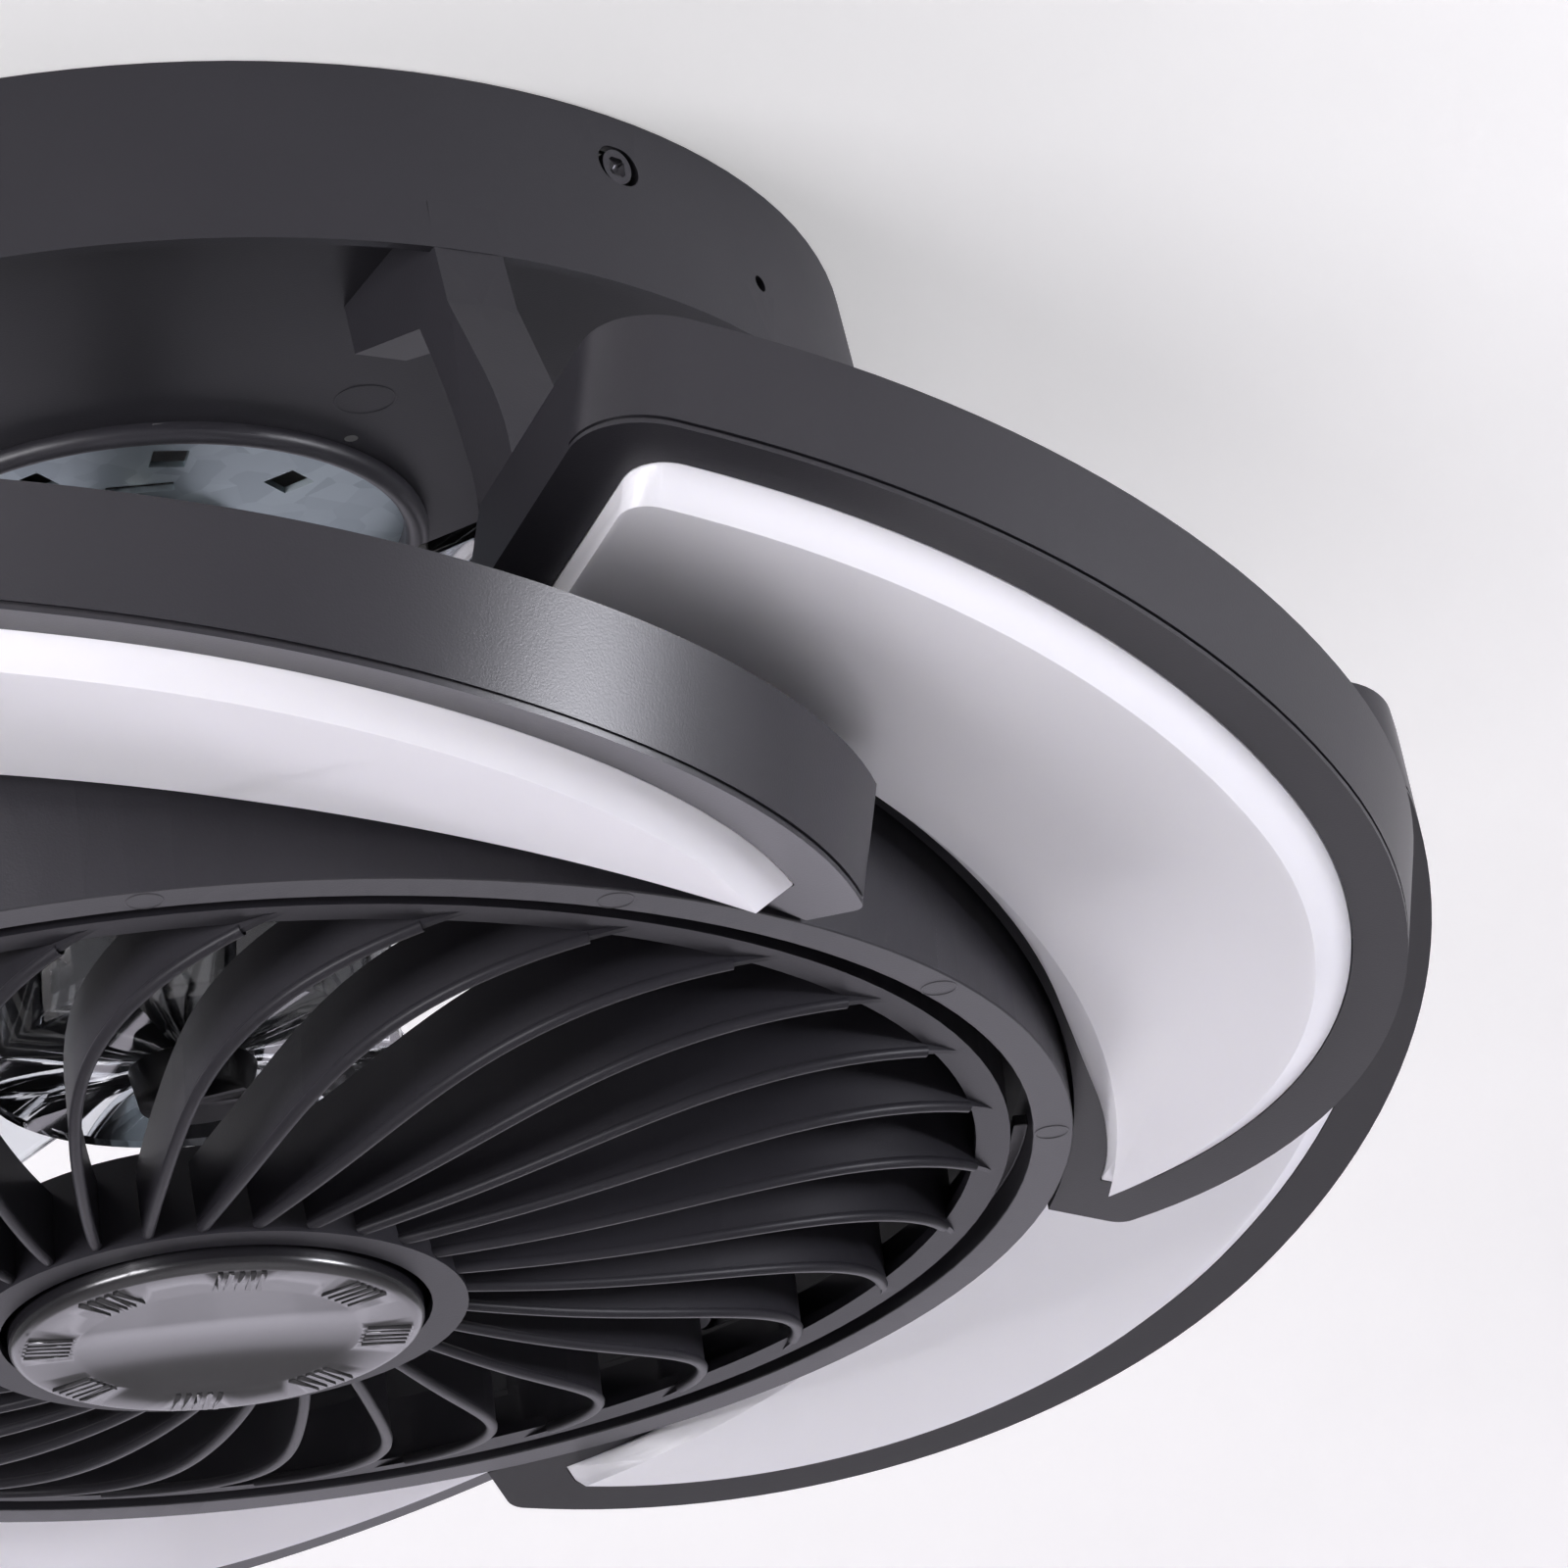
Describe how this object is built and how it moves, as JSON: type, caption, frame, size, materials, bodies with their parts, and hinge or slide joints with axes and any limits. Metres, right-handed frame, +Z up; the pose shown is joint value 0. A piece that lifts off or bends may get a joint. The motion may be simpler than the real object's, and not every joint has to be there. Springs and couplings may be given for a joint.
{
  "type": "bladeless ceiling fan",
  "caption": "Low-profile enclosed ceiling fan: a shallow round canopy on curved arms carries a ducted impeller, a swirled vane grille and a ring of tilted crescent lamp petals.",
  "frame": {"origin": "centre of the ceiling face, on the fan's axis", "axes": "+Z up towards the ceiling, the fan hangs into -Z; seen from -Y the long slope of the nearest petal falls to the right"},
  "size_m": [0.5488, 0.5576, 0.2223],
  "materials": {
    "charcoal_housing": "fine-grained satin moulding",
    "zinc_steel": "zinc plated",
    "black_screw": "blackened steel",
    "galvanised_steel": "zinc spangle",
    "painted_tube": "satin black",
    "cast_aluminium": "as cast",
    "circuit_board": "solder mask",
    "bearing_steel": "ground",
    "lamination_steel": "stacked laminations",
    "copper_winding": "enamelled wire",
    "painted_can": "satin black",
    "ferrite": "sintered",
    "clear_plastic": "clear",
    "black_plastic": "smooth",
    "charcoal_grille": "fine-grained satin moulding",
    "black_gloss": "polished",
    "white_case": "smooth",
    "charcoal_petal": "fine-grained satin moulding",
    "opal_plastic": "opal",
    "lamp_board": "white lacquer"
  },
  "bodies": {
    "housing": {"upper_housing": "charcoal_housing", "mounting_bracket": "zinc_steel", "side_screws": "black_screw", "motor_plate": "galvanised_steel", "motor_plate_screws": "zinc_steel", "hanger_tube": "painted_tube", "hanger_screws": "zinc_steel", "motor_base": "cast_aluminium", "motor_board": "circuit_board", "upper_bearing": "bearing_steel", "lower_bearing": "bearing_steel", "stator_core": "lamination_steel", "stator_coils": "copper_winding", "duct_ring": "charcoal_housing", "arm_screws": "black_screw", "lead_conduit": "black_plastic", "led_driver": "white_case", "receiver_box": "white_case", "terminal_block": "white_case", "petal_screws": "black_screw", "petal_shell_1": "charcoal_petal", "diffuser_1": "opal_plastic", "led_board_1": "lamp_board", "petal_shell_2": "charcoal_petal", "diffuser_2": "opal_plastic", "led_board_2": "lamp_board", "petal_shell_3": "charcoal_petal", "diffuser_3": "opal_plastic", "led_board_3": "lamp_board", "petal_shell_4": "charcoal_petal", "diffuser_4": "opal_plastic", "led_board_4": "lamp_board", "petal_shell_5": "charcoal_petal", "diffuser_5": "opal_plastic", "led_board_5": "lamp_board", "petal_shell_6": "charcoal_petal", "diffuser_6": "opal_plastic", "led_board_6": "lamp_board"},
    "rotor": {"rotor_shaft": "bearing_steel", "shaft_clip": "bearing_steel", "rotor_can": "painted_can", "magnet_ring": "ferrite", "fan_impeller": "clear_plastic", "impeller_nut": "black_plastic"},
    "grille_cover": {"grille": "charcoal_grille", "centre_cap": "black_gloss"}
  },
  "joints": [
    {"name": "rotor_spin", "type": "hinge", "parent": "housing", "child": "rotor", "pos_m": [0, 0, -0.119], "axis": [0, 0, 1], "continuous": true},
    {"name": "grille_twist", "type": "hinge", "parent": "housing", "child": "grille_cover", "pos_m": [0, 0, -0.19], "axis": [0, 0, 1], "range_deg": [0, 14]}
  ]
}
